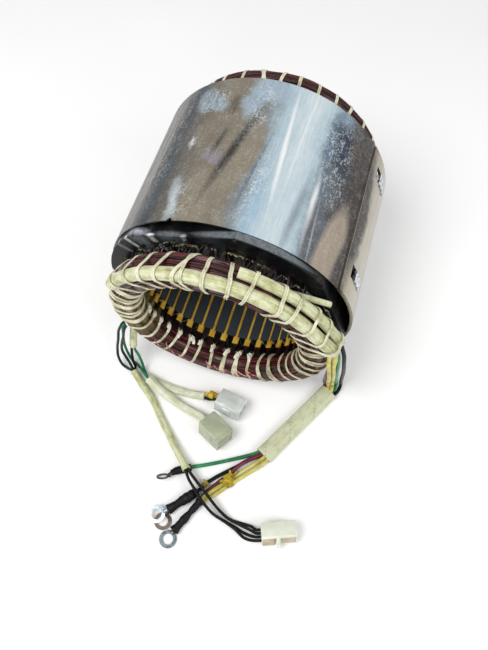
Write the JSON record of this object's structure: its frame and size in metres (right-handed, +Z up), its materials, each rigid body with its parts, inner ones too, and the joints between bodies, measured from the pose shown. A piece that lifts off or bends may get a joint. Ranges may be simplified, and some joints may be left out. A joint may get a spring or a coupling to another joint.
{
  "type": "generator stator",
  "caption": "Wound generator stator lying on its side: laminated core in a rolled sheet shroud, laced end windings, and its leads with ring terminals and plug connectors laid out in front.",
  "frame": {"origin": "centre of the rotor bore, halfway along the shroud's length", "axes": "+Y along the bore axis, away from the end where the leads leave; +Z up as the stator lies on its side; +X to the right when it is seen from the lead end, with the seam on the +X side"},
  "size_m": [0.2024, 0.3398, 0.19],
  "materials": {
    "laminations": "dark varnished electrical steel sheets",
    "sheet": "bright rolled sheet",
    "wedge": "yellow insulating strip",
    "paper": "cream insulating paper",
    "enamelled_wire": "dark red enamelled copper wire with varnish",
    "lacing": "flat woven tape",
    "sleeving": "woven glass sleeving with varnish",
    "green_insulation": "satin insulation",
    "black_insulation": "satin insulation",
    "red_insulation": "satin insulation",
    "yellow_insulation": "satin insulation",
    "thin_insulation": "satin insulation",
    "shrink_tube": "matt shrunk tube",
    "tinned_copper": "tinned",
    "tie": "smooth",
    "nylon_natural": "semi-gloss natural nylon",
    "nylon_green": "semi-gloss nylon"
  },
  "bodies": {
    "root": {"stator_core": "laminations", "core_welds": "laminations", "shroud": "sheet", "seam_hooks": "sheet", "slot_liners": "paper", "slot_wedges": "wedge", "slot_windings": "enamelled_wire", "lead_end_winding": "enamelled_wire", "rear_end_winding": "enamelled_wire", "lead_end_lacing": "lacing", "rear_end_lacing": "lacing", "main_ring_sleeve": "sleeving", "outer_ring_sleeve": "sleeving", "side_sleeve_stub": "sleeving", "face_sleeve_stub": "sleeving", "green_lead": "green_insulation", "black_lead": "black_insulation", "red_lead": "red_insulation", "yellow_lead_a": "yellow_insulation", "yellow_lead_b": "yellow_insulation", "wide_sleeve": "sleeving", "green_shrink": "shrink_tube", "green_eye": "tinned_copper", "black_shrink": "shrink_tube", "black_upper_eye": "tinned_copper", "black_lower_eye": "tinned_copper", "yellow_shrink": "shrink_tube", "yellow_eye": "tinned_copper", "yellow_tie": "tie", "small_tie": "tie", "signal_lead_a": "black_insulation", "signal_lead_b": "black_insulation", "signal_lead_c": "black_insulation", "signal_lead_d": "green_insulation", "signal_lead_e": "green_insulation", "long_sleeve": "sleeving", "thin_lead_a": "thin_insulation", "thin_lead_b": "thin_insulation", "thin_lead_c": "thin_insulation", "thin_lead_d": "thin_insulation", "four_way_connector": "nylon_natural", "upper_sleeve": "sleeving", "upper_pigtail": "yellow_insulation", "upper_connector": "nylon_natural", "lower_sleeve": "sleeving", "lower_connector": "nylon_green"}
  },
  "joints": []
}
